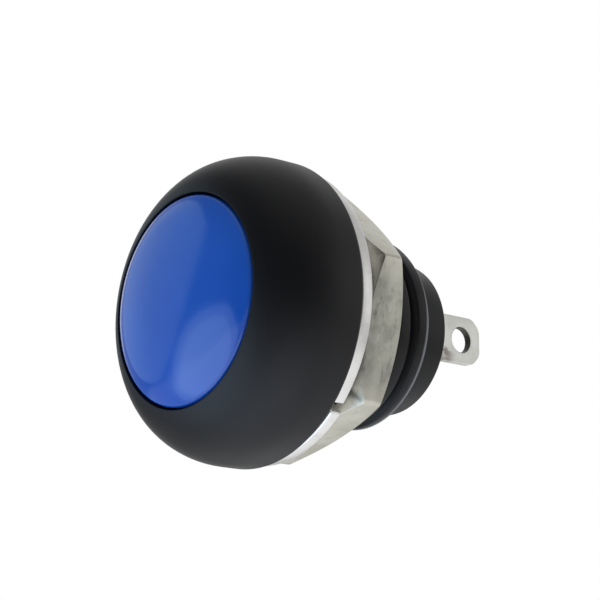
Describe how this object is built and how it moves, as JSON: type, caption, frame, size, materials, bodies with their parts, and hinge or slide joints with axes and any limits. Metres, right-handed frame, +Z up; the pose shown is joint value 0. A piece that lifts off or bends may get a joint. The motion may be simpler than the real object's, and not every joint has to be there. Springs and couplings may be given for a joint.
{
  "type": "pushbutton switch",
  "caption": "Sealed momentary pushbutton switch with a round domed head, threaded barrel, hexagon nut, split lock washer and solder lugs.",
  "frame": {"origin": "centre of the seat, the flat ring under the head that meets the panel", "axes": "+Y along the panel axis from the button towards the solder lugs, +Z up, +X to the right of someone who faces the button"},
  "size_m": [0.0186, 0.0228, 0.0186],
  "materials": {
    "housing_plastic": "black, moulded, satin",
    "cap_plastic": "blue, moulded, glossy",
    "plunger_plastic": "off-white, turned",
    "seal_rubber": "black, smooth",
    "spring_steel": "bright drawn wire and strip",
    "contact_silver": "silver plated",
    "terminal_plate": "tin plated brass strip",
    "base_plastic": "black, moulded, satin",
    "resin": "black, poured",
    "nickel_plate": "nickel plated, lightly scratched"
  },
  "bodies": {
    "housing": {"housing": "housing_plastic", "plunger_seal": "seal_rubber", "seal_retainer": "spring_steel", "return_spring": "spring_steel", "terminal_base": "base_plastic", "terminal_left": "terminal_plate", "terminal_right": "terminal_plate", "contact_rivet_left": "contact_silver", "contact_rivet_right": "contact_silver", "potting": "resin"},
    "button": {"button_cap": "cap_plastic", "plunger": "plunger_plastic", "retaining_clip": "spring_steel", "contact_spring": "spring_steel", "contact_disc": "contact_silver", "contact_retainer": "spring_steel"},
    "washer": {"lock_washer": "nickel_plate"},
    "nut": {"mounting_nut": "nickel_plate"}
  },
  "joints": [
    {"name": "button_press", "type": "slide", "parent": "housing", "child": "button", "axis": [0, 1, 0], "range_m": [0, 0.0015], "stiffness_N_per_m": 600, "springref_m": -0.002, "deforming": ["return_spring"]},
    {"name": "washer_slide", "type": "slide", "parent": "housing", "child": "washer", "axis": [0, 1, 0], "range_m": [0, 0.00364]},
    {"name": "nut_turn", "type": "hinge", "parent": "washer", "child": "nut", "pos_m": [0, 0, 0], "axis": [0, 1, 0], "range_deg": [0, 875]}
  ],
  "couplings": [
    {"joint": "nut_turn", "follows": "washer_slide", "rad_per_m": 4188.8}
  ]
}
